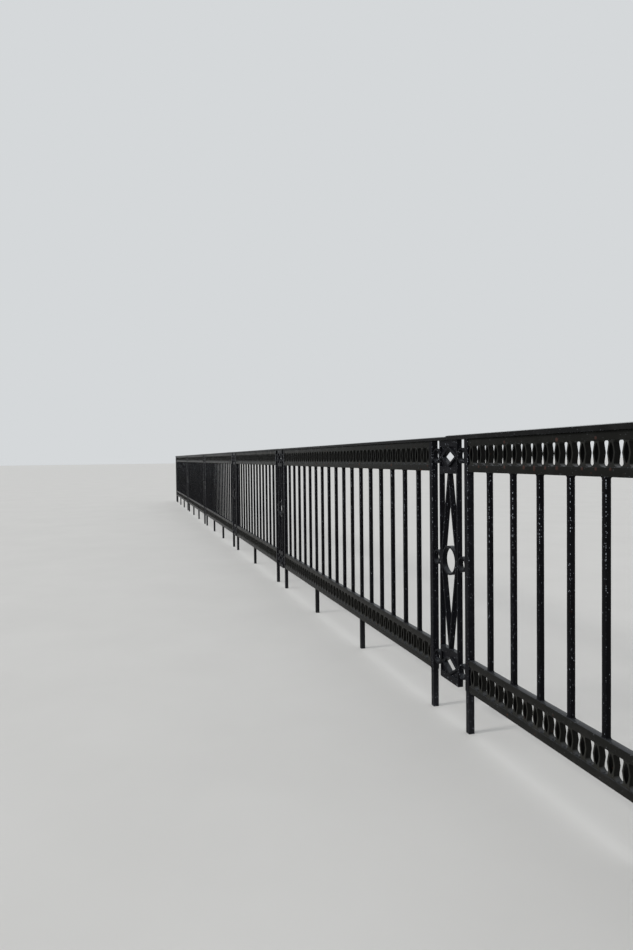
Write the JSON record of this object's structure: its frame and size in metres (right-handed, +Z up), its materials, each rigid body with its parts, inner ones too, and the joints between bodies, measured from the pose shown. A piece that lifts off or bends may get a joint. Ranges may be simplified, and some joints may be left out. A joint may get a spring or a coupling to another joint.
{
  "type": "iron terrace railing",
  "caption": "Long straight black iron railing: slim square balusters between bands of upright ovals, openwork pilasters between the bays, and a flat rounded handrail.",
  "frame": {"origin": "the flat foot of one post, on the stone: the -X post of the fourth pilaster from the +X end", "axes": "+X along the run, +Y across it away from the terrace, +Z up; the terrace face looks to -Y"},
  "size_m": [16.557, 0.04, 1.078],
  "materials": {
    "handrail_paint": "gloss, brushed",
    "band_paint": "gloss, brushed",
    "bar_paint": "gloss, brushed",
    "post_paint": "gloss, brushed"
  },
  "bodies": {
    "root": {"handrail_1": "handrail_paint", "handrail_2": "handrail_paint", "handrail_3": "handrail_paint", "handrail_4": "handrail_paint", "handrail_5": "handrail_paint", "handrail_6": "handrail_paint", "frieze_1": "band_paint", "frieze_2": "band_paint", "frieze_3": "band_paint", "frieze_4": "band_paint", "frieze_5": "band_paint", "frieze_6": "band_paint", "balusters_1": "bar_paint", "balusters_2": "bar_paint", "balusters_3": "bar_paint", "balusters_4": "bar_paint", "balusters_5": "bar_paint", "balusters_6": "bar_paint", "lower_band_1": "band_paint", "lower_band_2": "band_paint", "lower_band_3": "band_paint", "lower_band_4": "band_paint", "lower_band_5": "band_paint", "lower_band_6": "band_paint", "posts_1": "post_paint", "posts_2": "post_paint", "posts_3": "post_paint", "posts_4": "post_paint", "posts_5": "post_paint", "posts_6": "post_paint", "posts_7": "post_paint", "pilaster_panel_1": "post_paint", "pilaster_panel_2": "post_paint", "pilaster_panel_3": "post_paint", "pilaster_panel_4": "post_paint", "pilaster_panel_5": "post_paint", "pilaster_panel_6": "post_paint", "pilaster_panel_7": "post_paint"}
  },
  "joints": []
}
